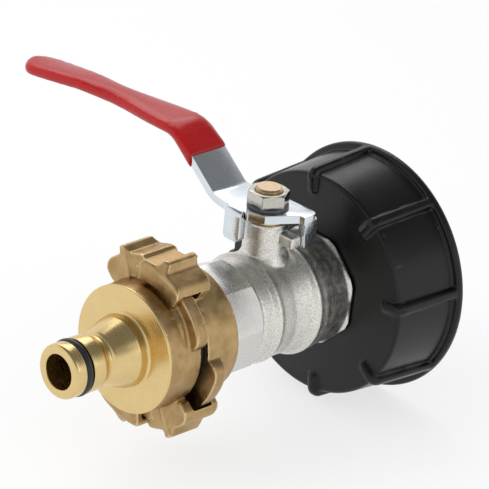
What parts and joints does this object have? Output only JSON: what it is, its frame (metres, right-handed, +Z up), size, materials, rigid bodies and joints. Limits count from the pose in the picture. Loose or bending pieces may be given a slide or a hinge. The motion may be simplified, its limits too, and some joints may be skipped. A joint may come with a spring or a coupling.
{
  "type": "ibc tap adapter",
  "caption": "Tap adapter for a liquid container: screw cap with a coarse tank thread, quarter-turn ball valve with a lever, claw quick coupling and a hose plug.",
  "frame": {"origin": "centre of the cap's open mouth, on the pipe axis", "axes": "-Y along the pipe towards the hose plug, +Z up along the valve stem, closed lever along -X"},
  "size_m": [0.136, 0.124, 0.0815],
  "materials": {
    "cap_plastic": "matte black, slightly rough moulding",
    "rubber": "smooth black rubber",
    "nickel": "nickel plated cast brass, satin with a cast grain",
    "ptfe": "white fluoropolymer",
    "machined_brass": "turned brass, bright with fine lathe marks",
    "cast_brass": "hot pressed brass, satin",
    "chromed_ball": "mirror chromed",
    "plated_steel": "zinc plated steel, bright",
    "red_vinyl": "glossy dipped vinyl"
  },
  "bodies": {
    "adapter_body": {"tank_cap": "cap_plastic", "cap_gasket": "rubber", "inlet_seal": "rubber", "valve_body": "nickel", "valve_end_piece": "nickel", "outlet_thread_seal": "rubber", "inlet_seat": "ptfe", "outlet_seat": "ptfe", "stem_washer": "ptfe", "stem_packing": "ptfe", "packing_gland": "machined_brass", "rear_coupling": "cast_brass", "rear_seal": "rubber"},
    "lever_assembly": {"ball": "chromed_ball", "stem": "machined_brass", "lever": "plated_steel", "lever_sleeve": "red_vinyl", "lever_nut": "plated_steel", "lever_washer": "plated_steel"},
    "hose_end": {"front_coupling": "cast_brass", "front_seal": "rubber", "nipple_oring": "rubber"}
  },
  "joints": [
    {"name": "lever_turn", "type": "hinge", "parent": "adapter_body", "child": "lever_assembly", "pos_m": [0, -0.0465, 0.0275], "axis": [0, 0, 1], "range_deg": [0, 90]},
    {"name": "coupling_turn", "type": "hinge", "parent": "adapter_body", "child": "hose_end", "pos_m": [0, -0.0861, 0], "axis": [0, -1, 0], "range_deg": [0, 80]}
  ]
}
